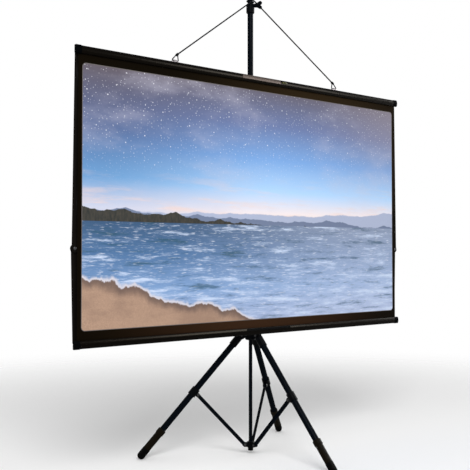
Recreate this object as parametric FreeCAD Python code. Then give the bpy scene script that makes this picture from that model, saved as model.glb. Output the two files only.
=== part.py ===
import FreeCAD, Part
import math
import os

V = FreeCAD.Vector
OUT = "parts"
FULL_TURN = 360.0

# Portable projection screen hung on a folding tripod mast.
# Millimetres, +Z up, X along the screen, -Y towards the audience. The floor is Z 0, and the
# finished part is moved along Y so that the origin lies under the middle of its box.

cut_over = 1.0            # how far a cutting tool runs past the face that it cuts
run_fit = 0.05            # radial clearance of a running or sliding fit
part_gap = 0.3            # clearance between pieces that pass each other
rivet_head_rise = 1.4     # height of every rivet head
rivet_head_over = 2.0     # how far a rivet head stands out past its shank

# Telescoping mast
column_radius = 11.0      # outer radius of the lower column
column_top = 1100.0
column_wall = 1.3
mid_radius = 9.5
mid_wall = 0.9
mid_bottom = 734.0
clamp_over_screen = 234.0  # middle tube's end above the upper bar, so that the cord has its slope
top_radius = 8.5
top_wall = 1.2
top_bottom = 812.0
top_out = 78.0            # top tube's end above the middle tube's end
spigot_radius = 7.9375
spigot_shoulder_radius = 9.2
spigot_shoulder = 4.0     # collar that rests on the tube's end
spigot_length = 34.0      # stub from the tube's end
spigot_seat = 14.0        # its shank inside the top tube
spigot_groove = 1.2       # depth of the groove turned in the stub
spigot_groove_width = 8.0
spigot_chamfer = 1.5
stud_radius = 3.175
stud_length = 12.0

# Clamp collars: each sits on a tube's end, with a bush above that end, and its wing screw passes
# through the bush and presses on the inner tube
lower_clamp_radius = 16.0
upper_clamp_radius = 13.6
clamp_grip_height = 12.5  # collar below the tube's end
clamp_bush_height = 20.0
clamp_chamfer = 2.5
clamp_boss_radius = 6.5
clamp_boss_drop = 7.0     # screw's axis below the collar's top
clamp_boss_over = 4.0     # how far the boss stands out from the collar
knob_stem_radius = 3.0
knob_core_radius = 7.0
knob_core_length = 14.0
knob_wing_span = 26.0
knob_wing_length = 22.5
knob_wing_thickness = 6.5
knob_wing_tip_radius = 5.5
knob_standoff = 0.4       # gap between the knob and its boss
upper_knob_azimuth = -60.0
lower_knob_azimuth = 90.0

# Tripod: hub, legs, struts and the sliding centre rod
tripod_turn = 2.3         # the tripod stands turned a little against the screen
leg_azimuths = {"left": 150.0 + tripod_turn, "right": 30.0 + tripod_turn, "front": 270.0 + tripod_turn}
foot_circle_radius = 359.0
hub_over_bar = 35.6       # hub's top above the under face of the lower bar, which hides it
hub_height = 58.0
hub_seat_depth = 36.0     # depth of the bore that the column stands in
hub_pivot_drop = 40.6     # leg pivots below the hub's top
hub_pivot_radius = 32.0
hub_radius = 18.0
hub_chamfer = 3.0
ear_thickness = 4.5
ear_radius = 9.6
ear_root = 14.0           # distance of the ear's inner end from the mast's axis
pin_radius = 3.0
hub_boss_radius = 7.0
hub_boss_reach = 24.0
hub_knob_azimuth = 90.0 + tripod_turn
hub_knob_drop = 47.0
rod_radius = 6.0
rod_over_hub = 97.0
rod_out = 3.4             # rod's end below the spreader collar
rod_plug_radius = 8.5
rod_plug_wall = 6.0       # rubber below the rod's end
rod_plug_chamfer = 1.0

leg_radius = 10.0
leg_wall = 1.3
tongue_thickness = 10.0
tongue_eye_radius = 8.5
leg_tube_start = 24.0     # along the leg from its pivot
leg_socket_start = 11.0   # top of the moulded socket round the tube's end
leg_socket_length = 34.0
leg_socket_radius = 12.6
sleeve_radius = 11.8
sleeve_length = 78.0
bead_radius = 13.4
bead_length = 18.0
tip_radius = 12.5
tip_length = 26.0         # from the sleeve to the middle of the ball end
tip_seat = 12.0           # how far the leg tube reaches into its rubber tip
folded_angle = 1.2        # angle left between a folded leg and the mast

bracket_place = 240.0     # strut's upper pin, along the leg from the leg's pivot
strut_offset = 17.0       # that pin from the leg tube's axis, on the inner side
strut_thickness = 6.0
strut_radius = 6.0
strut_groove_depth = 1.2
strut_groove_radius = 2.8
strut_groove_inset = 26.0
bracket_radius = 13.2
bracket_length = 28.0
bracket_ear_thickness = 3.2
bracket_ear_radius = 6.8
strut_pin_radius = 2.5
spreader_height = 30.4
spreader_pivot_radius = 20.0
spreader_radius = 11.0
spreader_half_height = 10.0
spreader_chamfer = 1.0
spreader_ear_root = 8.0

# Screen: white area, border and bars
white_width = 1328.0
white_height = 747.0
white_centre_height = 816.6
border_top = 24.0
border_bottom = 26.0
border_side = 12.0
fabric_thickness = 0.9
fabric_plane = -50.7
fabric_in_bar = 8.0       # depth of the fabric's edge inside each bar
bar_height = 22.0
bar_depth = 10.0
bar_crown = 3.0           # how far the bars' front face bows out
bar_back = -48.7
bar_corner_radius = 1.5
bar_wall = 1.3
bar_groove_gap = 0.35     # fabric to the wall of its groove
groove_over = 2.0         # groove deeper than the fabric's edge
cap_length = 18.0
cap_over = 1.0            # cap stands out past the bar all round
cap_corner_radius = 2.5
cap_end_over = 11.0       # cap's outer end past the fabric's edge
cap_spigot_length = 14.0

# Side struts: two flat links each, with an elbow that stands a little outwards
link_width = 18.0
link_thickness = 4.0
link_gap = 0.3
link_inset = 13.0         # link's centre line inside the caps' outer ends, at the corners
elbow_bow = 6.5
elbow_over_peg = 264.9
elbow_eye_radius = 11.5
hinge_drop = 11.0         # top hinge under the bar's upper face
peg_rise = 12.0           # hook peg above the lower bar's under face
link_pin_radius = 2.5
elbow_pin_radius = 3.0
peg_radius = 3.0
hook_gap = 0.5
link_groove_depth = 0.8
link_groove_radius = 3.0
link_groove_inset = 30.0

# Hangers, saddles, cord and knots
hanger_share = 0.253      # hanger from the middle, as a share of the screen's outer width
hanger_inset = 3.5        # hanger's wire in front of the bar's back
hanger_wire_radius = 1.7
hanger_half_width = 13.0
hanger_rise = 24.0
hanger_lean = 10.0        # apex towards the mast
hanger_bend_radius = 3.0
hanger_butt_gap = 0.6     # the wire's ends butt inside the saddle
saddle_length = 26.0
saddle_hump_length = 11.0
saddle_depth = 7.0
saddle_thickness = 1.6
saddle_hump_radius = 3.4
cord_radius = 2.2
knot_radius = 4.6
knot_length = 12.0
cord_share = 0.45         # share of the shorter run that a bend may take
wrap_pitch = 6.5          # rise of the cord's one turn round the top tube
wrap_over_clamp = 4.6     # first pass above the clamp's upper face
wrap_corners = 8          # corners in one turn of the route

# Middle fittings on the bars
plate_width = 166.0
plate_height = 12.0
plate_thickness = 0.8
vial_length = 20.0
vial_radius = 2.6
vial_gap = 8.0            # from the plate's end
vial_drop = 8.0           # vial's axis under the bar's upper face
pad_width = 188.0
pad_height = 6.0
pad_thickness = 2.5
pad_centre = 31.0         # pad's middle past the screen's middle

# Worked out from the sizes above
white_low = white_centre_height - white_height / 2
white_high = white_centre_height + white_height / 2
fabric_half = white_width / 2 + border_side
upper_bar_low = white_high + border_top
upper_bar_high = upper_bar_low + bar_height
lower_bar_high = white_low - border_bottom
lower_bar_low = lower_bar_high - bar_height
cap_outer = fabric_half + cap_end_over
cap_inner = cap_outer - cap_length
bar_middle = bar_back - bar_depth / 2
bar_front = bar_back - bar_depth
groove_half = fabric_thickness / 2 + bar_groove_gap
groove_depth = fabric_in_bar + groove_over
link_line = cap_outer - link_inset
hinge_height = upper_bar_high - hinge_drop
peg_height = lower_bar_low + peg_rise
elbow_height = peg_height + elbow_over_peg
upper_link_front = bar_back + cap_over + part_gap
lower_link_front = upper_link_front + link_thickness + link_gap
links_back = lower_link_front + link_thickness
hanger_place = hanger_share * 2 * cap_outer
hanger_plane = bar_back - hanger_inset
hanger_height = upper_bar_high + saddle_thickness + hanger_wire_radius + run_fit
apex_height = hanger_height + hanger_rise

mid_top = upper_bar_high + clamp_over_screen
top_end = mid_top + top_out
upper_clamp_top = mid_top + clamp_bush_height

hub_top = lower_bar_low + hub_over_bar
hub_bottom = hub_top - hub_height
hub_seat = hub_top - hub_seat_depth
hub_pivot_height = hub_top - hub_pivot_drop
hub_knob_height = hub_top - hub_knob_drop
rod_bottom = spreader_height - spreader_half_height - rod_out
rod_top = hub_top + rod_over_hub
foot_run = foot_circle_radius - hub_pivot_radius
foot_drop = hub_pivot_height - tip_radius
leg_angle = math.atan2(foot_run, foot_drop)
leg_length = math.hypot(foot_run, foot_drop)
leg_down = V(math.sin(leg_angle), 0, -math.cos(leg_angle))
leg_pivot = V(hub_pivot_radius, 0, hub_pivot_height)
sleeve_start = leg_length - tip_length - sleeve_length
fold_travel = leg_angle - math.radians(folded_angle)


def strut_pin(angle):
    """The strut's upper pin when the leg stands at this angle from the mast."""
    down = V(math.sin(angle), 0, -math.cos(angle))
    out = V(math.cos(angle), 0, math.sin(angle))
    return leg_pivot + down * bracket_place - out * strut_offset


strut_top = strut_pin(leg_angle)
strut_foot = V(spreader_pivot_radius, 0, spreader_height)
strut_length = (strut_top - strut_foot).Length
folded_top = strut_pin(leg_angle - fold_travel)
open_lean = math.asin((strut_top.x - strut_foot.x) / strut_length)
folded_lean = math.asin((folded_top.x - strut_foot.x) / strut_length)
strut_travel = fold_travel + open_lean - folded_lean
rod_travel = spreader_height - folded_top.z + strut_length * math.cos(folded_lean)

X, Y, Z = V(1, 0, 0), V(0, 1, 0), V(0, 0, 1)
solids = {}


def rod(start, direction, radius, length):
    return Part.makeCylinder(radius, length, start, direction)


def pipe(start, direction, outer, inner, length):
    bore = rod(start - direction * cut_over, direction, inner, length + 2 * cut_over)
    return rod(start, direction, outer, length).cut(bore)


def box(x0, x1, y0, y1, z0, z1):
    return Part.makeBox(x1 - x0, y1 - y0, z1 - z0, V(x0, y0, z0))


def round_axis_z(points):
    """A turned piece: the (radius, height) outline spun about the Z axis."""
    outline = [V(r, 0, z) for r, z in points]
    face = Part.Face(Part.makePolygon(outline + outline[:1]))
    return face.revolve(V(0, 0, 0), Z, FULL_TURN)


def strap(a, radius_a, b, radius_b, y0, y1):
    """A flat strap in the XZ plane with round ends about a and b, from y0 to y1."""
    line = b - a
    length = line.Length
    along = line * (1 / length)
    side = V(-along.z, 0, along.x)
    lean = math.acos((radius_a - radius_b) / length)
    normals = [along * math.cos(lean) + side * (s * math.sin(lean)) for s in (1, -1)]
    a1, a2 = [a + n * radius_a for n in normals]
    b1, b2 = [b + n * radius_b for n in normals]
    edges = [
        Part.Arc(a1, a - along * radius_a, a2).toShape(),
        Part.makeLine(a2, b2),
        Part.Arc(b2, b + along * radius_b, b1).toShape(),
        Part.makeLine(b1, a1),
    ]
    solid = Part.Face(Part.Wire(edges)).extrude(Y * (y1 - y0))
    solid.translate(Y * y0)
    return solid


def cross_hole(centre, radius, y0, y1):
    return rod(V(centre.x, y0 - cut_over, centre.z), Y, radius, y1 - y0 + 2 * cut_over)


def rivet(centre, radius, y0, y1):
    """A rivet along Y whose heads lie on the faces at y0 and y1."""
    head = radius + rivet_head_over
    shank = rod(V(centre.x, y0, centre.z), Y, radius, y1 - y0)
    front = Part.makeCone(radius, head, rivet_head_rise, V(centre.x, y0 - rivet_head_rise, centre.z), Y)
    back = Part.makeCone(head, radius, rivet_head_rise, V(centre.x, y1, centre.z), Y)
    return shank.fuse([front, back]).removeSplitter()


def turned_to(shape, azimuth):
    moved = shape.copy()
    moved.rotate(V(0, 0, 0), Z, azimuth)
    return moved


def mirrored(shape):
    return shape.mirror(V(0, 0, 0), X)


def pair(shape):
    return Part.makeCompound([shape, mirrored(shape)])


def crowned_bar(x0, x1, front, back, low, high, corner):
    """A bar along X with a bowed front face and four rounded long edges."""
    edge = front + bar_crown
    outline = [V(x0, edge, high), V(x0, back, high), V(x0, back, low), V(x0, edge, low)]
    edges = [Part.makeLine(a, b) for a, b in zip(outline, outline[1:])]
    edges.append(Part.Arc(outline[-1], V(x0, front, (low + high) / 2), outline[0]).toShape())
    solid = Part.Face(Part.Wire(edges)).extrude(X * (x1 - x0))
    long_edges = [e for e in solid.Edges if e.BoundBox.XLength > corner]
    return solid.makeFillet(corner, long_edges)


# Mast tubes and spigot
def mast():
    solids["lower_column"] = pipe(V(0, 0, hub_seat), Z, column_radius, column_radius - column_wall,
                                  column_top - hub_seat)
    solids["mid_tube"] = pipe(V(0, 0, mid_bottom), Z, mid_radius, mid_radius - mid_wall,
                              mid_top - mid_bottom)
    solids["top_tube"] = pipe(V(0, 0, top_bottom), Z, top_radius, top_radius - top_wall,
                              top_end - top_bottom)
    stub_low = top_end + spigot_shoulder
    stub_top = top_end + spigot_length
    groove_low = (stub_low + stub_top - spigot_groove_width) / 2
    groove_high = groove_low + spigot_groove_width
    solids["top_spigot"] = round_axis_z([
        (0, top_end - spigot_seat),
        (top_radius - top_wall, top_end - spigot_seat),
        (top_radius - top_wall, top_end),
        (spigot_shoulder_radius, top_end),
        (spigot_shoulder_radius, stub_low),
        (spigot_radius, stub_low),
        (spigot_radius, groove_low),
        (spigot_radius - spigot_groove, groove_low + spigot_groove),
        (spigot_radius - spigot_groove, groove_high - spigot_groove),
        (spigot_radius, groove_high),
        (spigot_radius, stub_top - spigot_chamfer),
        (spigot_radius - spigot_chamfer, stub_top),
        (stud_radius, stub_top),
        (stud_radius, stub_top + stud_length),
        (0, stub_top + stud_length),
    ])


def wing_knob(stem_start, core_start):
    """A wing screw along +X: stem, core and two rounded wings, in the plane of X and Z."""
    wing_near = core_start + knob_core_radius
    wing_far = core_start + knob_wing_length - knob_wing_tip_radius
    reach = knob_wing_span / 2 - knob_wing_tip_radius
    thick = knob_wing_thickness / 2
    core = rod(V(core_start, 0, 0), X, knob_core_radius, knob_core_length)
    wings = [strap(V(wing_near, 0, 0), knob_core_radius, V(wing_far, 0, s * reach), knob_wing_tip_radius,
                   -thick, thick) for s in (1, -1)]
    stem = rod(V(stem_start, 0, 0), X, knob_stem_radius, wing_near - stem_start)
    return core.fuse(wings + [stem]).removeSplitter()


def clamp(name, end, outer_tube, inner_tube, radius, azimuth):
    """A collar on the outer tube's end, the bush above that end, and the radial wing screw."""
    low, high = end - clamp_grip_height, end + clamp_bush_height
    screw_height = high - clamp_boss_drop
    reach = radius + clamp_boss_over
    ring = round_axis_z([
        (outer_tube, low), (radius - clamp_chamfer, low), (radius, low + clamp_chamfer),
        (radius, high - clamp_chamfer), (radius - clamp_chamfer, high), (outer_tube, high),
    ])
    boss = rod(V(0, 0, screw_height), X, clamp_boss_radius, reach)
    bore = rod(V(0, 0, low - cut_over), Z, outer_tube, high - low + 2 * cut_over)
    screw = rod(V(0, 0, screw_height), X, knob_stem_radius + run_fit, reach + cut_over)
    bush = pipe(V(0, 0, end), Z, outer_tube, inner_tube + run_fit, clamp_bush_height)
    knob = wing_knob(inner_tube + part_gap, reach + knob_standoff)
    knob.translate(Z * screw_height)
    solids[name] = turned_to(ring.fuse(boss).cut([bore, screw]).removeSplitter(), azimuth)
    solids[name + "_bush"] = turned_to(bush.cut(screw), azimuth)
    solids[name + "_knob"] = turned_to(knob, azimuth)


def clamps():
    clamp("lower_clamp", column_top, column_radius, mid_radius, lower_clamp_radius, lower_knob_azimuth)
    clamp("upper_clamp", mid_top, mid_radius, top_radius, upper_clamp_radius, upper_knob_azimuth)


# Tripod hub, centre rod and spreader collar
def clevis(pivot, root, eye_radius, ear, gap_half):
    """Two ears about a pivot, joined to the collar at the root radius."""
    start = V(root, 0, pivot.z)
    return [strap(start, eye_radius, pivot, eye_radius, y0, y0 + ear) for y0 in (gap_half, -gap_half - ear)]


def hub():
    gap = tongue_thickness / 2 + part_gap
    body = round_axis_z([
        (rod_radius + run_fit, hub_bottom), (hub_radius - hub_chamfer, hub_bottom),
        (hub_radius, hub_bottom + hub_chamfer), (hub_radius, hub_top - hub_chamfer),
        (hub_radius - hub_chamfer, hub_top), (rod_radius + run_fit, hub_top),
    ])
    ears = []
    for azimuth in leg_azimuths.values():
        ears += [turned_to(e, azimuth) for e in clevis(leg_pivot, ear_root, ear_radius, ear_thickness, gap)]
    boss = rod(V(0, 0, hub_knob_height), X, hub_boss_radius, hub_boss_reach)
    body = body.fuse(ears + [turned_to(boss, hub_knob_azimuth)])
    seat = rod(V(0, 0, hub_seat), Z, column_radius, hub_top - hub_seat + cut_over)
    guide = rod(V(0, 0, hub_bottom - cut_over), Z, rod_radius + run_fit, hub_top)
    screw = rod(V(0, 0, hub_knob_height), X, knob_stem_radius + run_fit, hub_boss_reach + cut_over)
    holes = [cross_hole(leg_pivot, pin_radius, -gap - ear_thickness, gap + ear_thickness)]
    body = body.cut([seat, guide, turned_to(screw, hub_knob_azimuth)])
    for azimuth in leg_azimuths.values():
        body = body.cut([turned_to(h, azimuth) for h in holes])
    solids["leg_hub"] = body.removeSplitter()
    pins = [turned_to(rivet(leg_pivot, pin_radius, -gap - ear_thickness, gap + ear_thickness), a)
            for a in leg_azimuths.values()]
    solids["hub_pins"] = Part.makeCompound(pins)
    knob = wing_knob(rod_radius + part_gap, hub_boss_reach + knob_standoff)
    knob.translate(Z * hub_knob_height)
    solids["hub_knob"] = turned_to(knob, hub_knob_azimuth)


def spreader():
    solids["centre_rod"] = rod(V(0, 0, rod_bottom), Z, rod_radius, rod_top - rod_bottom)
    low = spreader_height - spreader_half_height
    high = spreader_height + spreader_half_height
    gap = strut_thickness / 2 + part_gap
    body = round_axis_z([
        (rod_radius, low), (spreader_radius - spreader_chamfer, low),
        (spreader_radius, low + spreader_chamfer), (spreader_radius, high - spreader_chamfer),
        (spreader_radius - spreader_chamfer, high), (rod_radius, high),
    ])
    ears = []
    rivets = []
    for azimuth in leg_azimuths.values():
        both = clevis(strut_foot, spreader_ear_root, bracket_ear_radius, bracket_ear_thickness, gap)
        ears += [turned_to(e, azimuth) for e in both]
        for side in (1, -1):
            face = side * (gap + bracket_ear_thickness)
            button = Part.makeCone(strut_pin_radius + rivet_head_over, strut_pin_radius, rivet_head_rise,
                                   V(strut_foot.x, face, strut_foot.z), Y * side)
            rivets.append(turned_to(button, azimuth))
    bore = rod(V(0, 0, low - cut_over), Z, rod_radius, high - low + 2 * cut_over)
    solids["spreader_collar"] = body.fuse(ears).cut(bore).removeSplitter()
    solids["spreader_rivets"] = Part.makeCompound(rivets)
    plug_low = rod_bottom - rod_plug_wall
    solids["rod_plug"] = round_axis_z([
        (0, plug_low), (rod_plug_radius - rod_plug_chamfer, plug_low),
        (rod_plug_radius, plug_low + rod_plug_chamfer), (rod_plug_radius, low),
        (rod_radius, low), (rod_radius, rod_bottom), (0, rod_bottom),
    ])


# Legs and struts, built along +X and turned to their azimuth
def on_leg(down):
    return leg_pivot + leg_down * down


def leg_socket():
    """Moulded socket on the tube's end with the tongue that turns in the hub."""
    half = tongue_thickness / 2
    cup = rod(on_leg(leg_socket_start), leg_down, leg_socket_radius, leg_socket_length)
    tongue = strap(leg_pivot, tongue_eye_radius, on_leg(leg_tube_start), tongue_eye_radius, -half, half)
    seat = rod(on_leg(leg_tube_start), leg_down, leg_radius, leg_length)
    body = cup.fuse(tongue).cut(seat)
    return body.cut(cross_hole(leg_pivot, pin_radius + run_fit, -half, half)).removeSplitter()


def leg_bracket():
    """Sleeve on the leg with two ears on its inner side, and a pocket for the folded strut."""
    gap = strut_thickness / 2 + part_gap
    outside = gap + bracket_ear_thickness
    sleeve = rod(on_leg(bracket_place - bracket_length / 2), leg_down, bracket_radius, bracket_length)
    ears = [strap(on_leg(bracket_place), bracket_ear_radius, strut_top, bracket_ear_radius,
                  y0, y0 + bracket_ear_thickness) for y0 in (gap, -outside)]
    tool = rod(leg_pivot, leg_down, leg_radius, leg_length)
    holes = cross_hole(strut_top, strut_pin_radius, -outside, outside)
    pocket = strap(strut_top, strut_radius + part_gap, strut_top + leg_down * bracket_length,
                   strut_radius + part_gap, -gap, gap)
    return sleeve.fuse(ears).cut([tool, holes, pocket]).removeSplitter()


def foot_sleeve():
    """Plastic sleeve over the lower leg with a rounded bead at its top."""
    body = rod(on_leg(sleeve_start), leg_down, sleeve_radius, sleeve_length)
    bead = rod(on_leg(sleeve_start), leg_down, bead_radius, bead_length)
    rims = [e for e in bead.Edges if e.Closed]
    bead = bead.makeFillet(bead_radius - sleeve_radius, rims)
    tool = rod(leg_pivot, leg_down, leg_radius, leg_length)
    return body.fuse(bead).cut(tool).removeSplitter()


def foot_tip():
    """Rubber tip with a ball end, on the floor."""
    start = sleeve_start + sleeve_length
    barrel = rod(on_leg(start), leg_down, tip_radius, tip_length)
    ball = Part.makeSphere(tip_radius, on_leg(leg_length))
    seat = rod(on_leg(start - cut_over), leg_down, leg_radius, tip_seat + cut_over)
    return barrel.fuse(ball).cut(seat).removeSplitter()


def leg_strut():
    """Flat strut from the leg's bracket to the spreader collar, with a groove pressed in each face."""
    half = strut_thickness / 2
    along = (strut_foot - strut_top) * (1 / strut_length)
    body = strap(strut_top, strut_radius, strut_foot, strut_radius, -half, half)
    groove_ends = (strut_top + along * strut_groove_inset, strut_foot - along * strut_groove_inset)
    grooves = [strap(groove_ends[0], strut_groove_radius, groove_ends[1], strut_groove_radius, y0, y1)
               for y0, y1 in ((half - strut_groove_depth, half + cut_over),
                              (-half - cut_over, -half + strut_groove_depth))]
    return body.cut(grooves + [cross_hole(strut_top, strut_pin_radius + run_fit, -half, half)])


def legs():
    tube_end = sleeve_start + sleeve_length + tip_seat
    tube = pipe(on_leg(leg_tube_start), leg_down, leg_radius, leg_radius - leg_wall,
                tube_end - leg_tube_start)
    gap = strut_thickness / 2 + part_gap + bracket_ear_thickness
    pieces = {
        "leg_tube": tube,
        "leg_socket": leg_socket(),
        "leg_bracket": leg_bracket(),
        "bracket_rivet": rivet(strut_top, strut_pin_radius, -gap, gap),
        "foot_sleeve": foot_sleeve(),
        "foot_tip": foot_tip(),
        "leg_strut": leg_strut(),
    }
    for side, azimuth in leg_azimuths.items():
        for name, shape in pieces.items():
            solids[side + "_" + name] = turned_to(shape, azimuth)


# Screen bars, caps and fabric
def chamber(x0, x1, low, high, groove_up, wall):
    """The bar's hollow, between its groove and its far edge, or with a thicker wall the spigot in it."""
    z0, z1 = (low, high - groove_depth) if groove_up else (low + groove_depth, high)
    return box(x0, x1, bar_front + bar_crown + wall, bar_back - wall, z0 + wall, z1 - wall)


def bar_body(x0, x1, low, high):
    return crowned_bar(x0, x1, bar_front, bar_back, low, high, bar_corner_radius)


def bar(low, high, groove_up):
    """Extruded bar with a groove near its back that holds the fabric's edge."""
    body = bar_body(-cap_inner, cap_inner, low, high)
    z0, z1 = (high - groove_depth, high + cut_over) if groove_up else (low - cut_over, low + groove_depth)
    end = cap_inner + cut_over
    slot = box(-end, end, fabric_plane - groove_half, fabric_plane + groove_half, z0, z1)
    return body.cut([slot, chamber(-end, end, low, high, groove_up, bar_wall)])


def cap(low, high, groove_up):
    """Moulded corner cap with a spigot in the bar's hollow, at the right-hand end."""
    body = crowned_bar(cap_inner, cap_outer, bar_front - cap_over, bar_back + cap_over,
                       low - cap_over, high + cap_over, cap_corner_radius)
    rim = [e for e in body.Edges
           if abs(e.CenterOfMass.x - cap_outer) < cap_over and e.BoundBox.XLength < cap_over]
    body = body.makeChamfer(cap_over, rim)
    spigot = chamber(cap_inner - cap_spigot_length, cap_inner + cut_over, low, high, groove_up,
                     bar_wall + part_gap)
    return body.fuse(spigot).removeSplitter()


def screen_panel():
    solids["top_bar"] = bar(upper_bar_low, upper_bar_high, False)
    solids["bottom_bar"] = bar(lower_bar_low, lower_bar_high, True)
    solids["screen_fabric"] = box(-fabric_half, fabric_half, fabric_plane - fabric_thickness / 2,
                                  fabric_plane + fabric_thickness / 2, lower_bar_high - fabric_in_bar,
                                  upper_bar_low + fabric_in_bar)
    room_half = fabric_half + part_gap
    fabric_room = box(-room_half, room_half, fabric_plane - groove_half, fabric_plane + groove_half,
                      lower_bar_high - groove_depth, upper_bar_low + groove_depth)
    top_cap = cap(upper_bar_low, upper_bar_high, False)
    pin_hole = rod(V(link_line, bar_middle, hinge_height), Y, link_pin_radius, bar_depth)
    top_cap = top_cap.cut([pin_hole, fabric_room])
    bottom_cap = cap(lower_bar_low, lower_bar_high, True)
    peg = rod(V(link_line, bar_back, peg_height), Y, peg_radius, links_back + part_gap - bar_back)
    bottom_cap = bottom_cap.fuse(peg).cut(fabric_room).removeSplitter()
    for name, shape in (("top_cap", top_cap), ("bottom_cap", bottom_cap)):
        solids[name + "_right"] = shape
        solids[name + "_left"] = mirrored(shape)
    pin = rod(V(link_line, bar_middle, hinge_height), Y, link_pin_radius,
              upper_link_front + link_thickness + part_gap - bar_middle)
    head = Part.makeCone(link_pin_radius + rivet_head_over, link_pin_radius, rivet_head_rise,
                         V(link_line, upper_link_front + link_thickness + part_gap, hinge_height), Y)
    solids["hinge_pins"] = pair(pin.fuse(head).removeSplitter())


def groove_in(a, b, radius, y0, y1):
    along = (b - a) * (1 / (b - a).Length)
    return strap(a + along * link_groove_inset, radius, b - along * link_groove_inset, radius, y0, y1)


def side_links():
    half = link_width / 2
    hinge = V(link_line, 0, hinge_height)
    elbow = V(link_line + elbow_bow, 0, elbow_height)
    peg = V(link_line, 0, peg_height)
    front, middle = upper_link_front, upper_link_front + link_thickness
    rear, back = lower_link_front, links_back
    eye = rod(V(elbow.x, front, elbow.z), Y, elbow_eye_radius, link_thickness)
    upper = strap(hinge, half, elbow, half, front, middle).fuse(eye)
    upper = upper.cut([cross_hole(hinge, link_pin_radius + run_fit, front, middle),
                       cross_hole(elbow, elbow_pin_radius, front, middle),
                       groove_in(hinge, elbow, link_groove_radius, front - cut_over,
                                 front + link_groove_depth)])
    eye = rod(V(elbow.x, rear, elbow.z), Y, elbow_eye_radius, link_thickness)
    lower = strap(elbow, half, peg, half, rear, back).fuse(eye)
    mouth = box(peg.x, peg.x + link_width, rear - cut_over, back + cut_over,
                peg.z - peg_radius - hook_gap, peg.z + peg_radius + hook_gap)
    seat = cross_hole(peg, peg_radius + hook_gap, rear, back)
    lower = lower.cut([mouth, seat, cross_hole(elbow, elbow_pin_radius + run_fit, rear, back),
                       groove_in(elbow, peg, link_groove_radius, back - link_groove_depth, back + cut_over)])
    pin = rivet(elbow, elbow_pin_radius, front, back + run_fit)
    for side, turn in (("right", lambda s: s), ("left", mirrored)):
        solids[side + "_upper_link"] = turn(upper.removeSplitter())
        solids[side + "_lower_link"] = turn(lower.removeSplitter())
        solids[side + "_elbow_rivet"] = turn(pin)


# Cord and wire along straight runs joined by tangent arcs
def bend_radii(points):
    """Radius at each inner point: its share of the shorter run over the tangent of half the turn."""
    radii = []
    for before, at, after in zip(points, points[1:], points[2:]):
        come, go = at - before, after - at
        turn = come.getAngle(go)
        radii.append(cord_share * min(come.Length, go.Length) / math.tan(turn / 2))
    return radii


def route_wire(points, radii):
    edges = []
    start = points[0]
    length = 0
    for before, at, after, radius in zip(points, points[1:], points[2:], radii):
        come = (at - before).normalize()
        go = (after - at).normalize()
        turn = come.getAngle(go)
        reach = radius * math.tan(turn / 2)
        first, last = at - come * reach, at + go * reach
        middle = bend_middle(before, at, after, radius)
        edges += [Part.LineSegment(start, first).toShape(), Part.Arc(first, middle, last).toShape()]
        length += (first - start).Length + radius * turn
        start = last
    edges.append(Part.LineSegment(start, points[-1]).toShape())
    length += (points[-1] - start).Length
    return Part.Wire(edges), length


def round_sweep(wire, start, direction, radius):
    ring = Part.Wire([Part.makeCircle(radius, start, direction)])
    return wire.makePipeShell([ring], True, False)


def hanger_corners():
    x0, y = hanger_place, hanger_plane
    return [V(x0 + hanger_half_width, y, hanger_height), V(x0 - hanger_lean, y, apex_height),
            V(x0 - hanger_half_width, y, hanger_height)]


def hanger_wire(radius):
    """Bent wire: its ends butt in the saddle, and its two sides meet at an apex near the mast."""
    middle = V(hanger_place, hanger_plane, hanger_height)
    corners = hanger_corners()
    points = [middle + X * (hanger_butt_gap / 2)] + corners + [middle - X * (hanger_butt_gap / 2)]
    wire, _ = route_wire(points, [hanger_bend_radius] * len(corners))
    return round_sweep(wire, points[0], X, radius)


def hangers():
    x0, y, low = hanger_place, hanger_plane, upper_bar_high
    solids["hanger_rings"] = pair(hanger_wire(hanger_wire_radius))
    hump = rod(V(x0 - saddle_hump_length / 2, y, hanger_height), X, saddle_hump_radius, saddle_hump_length)
    base = box(x0 - saddle_length / 2, x0 + saddle_length / 2, y - saddle_depth / 2, y + saddle_depth / 2,
               low, low + saddle_thickness)
    under = box(x0 - saddle_length, x0 + saddle_length, y - saddle_depth, y + saddle_depth,
                low - saddle_depth, low)
    bore = rod(V(x0 - saddle_length / 2 - cut_over, y, hanger_height), X, hanger_wire_radius + run_fit,
               saddle_length + 2 * cut_over)
    solids["hanger_saddles"] = pair(base.fuse(hump).cut([under, bore]).removeSplitter())


def bend_middle(before, at, after, radius):
    """The point of a rounded corner that is nearest to the corner itself."""
    come, go = (at - before).normalize(), (after - at).normalize()
    turn = come.getAngle(go)
    return at + (go - come).normalize() * (radius / math.cos(turn / 2) - radius)


def cord_route():
    """From the left knot up to the mast, once round the top tube, and down to the right knot."""
    apothem = top_radius + cord_radius + part_gap
    step = 2 * math.pi / wrap_corners
    reach = apothem / math.cos(step / 2)
    low = upper_clamp_top + wrap_over_clamp
    turns = []
    for k in range(wrap_corners + 2):
        angle = -math.pi / 2 + step * k - step / 2
        rise = wrap_pitch * min(max(k - 1, 0) / (wrap_corners - 1), 1)
        turns.append(V(reach * math.cos(angle), reach * math.sin(angle), low + rise))
    return [knot_exit(turns[0], -1)] + turns + [knot_exit(turns[-1], 1)]


def knot_place(side):
    """Middle of the wire's bend at the hanger's apex, where the cord is tied."""
    place = bend_middle(*hanger_corners(), hanger_bend_radius)
    return V(side * place.x, place.y, place.z)


def knot_exit(towards, side):
    start = knot_place(side)
    return start + (towards - start).normalize() * (knot_length / 2)


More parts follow.
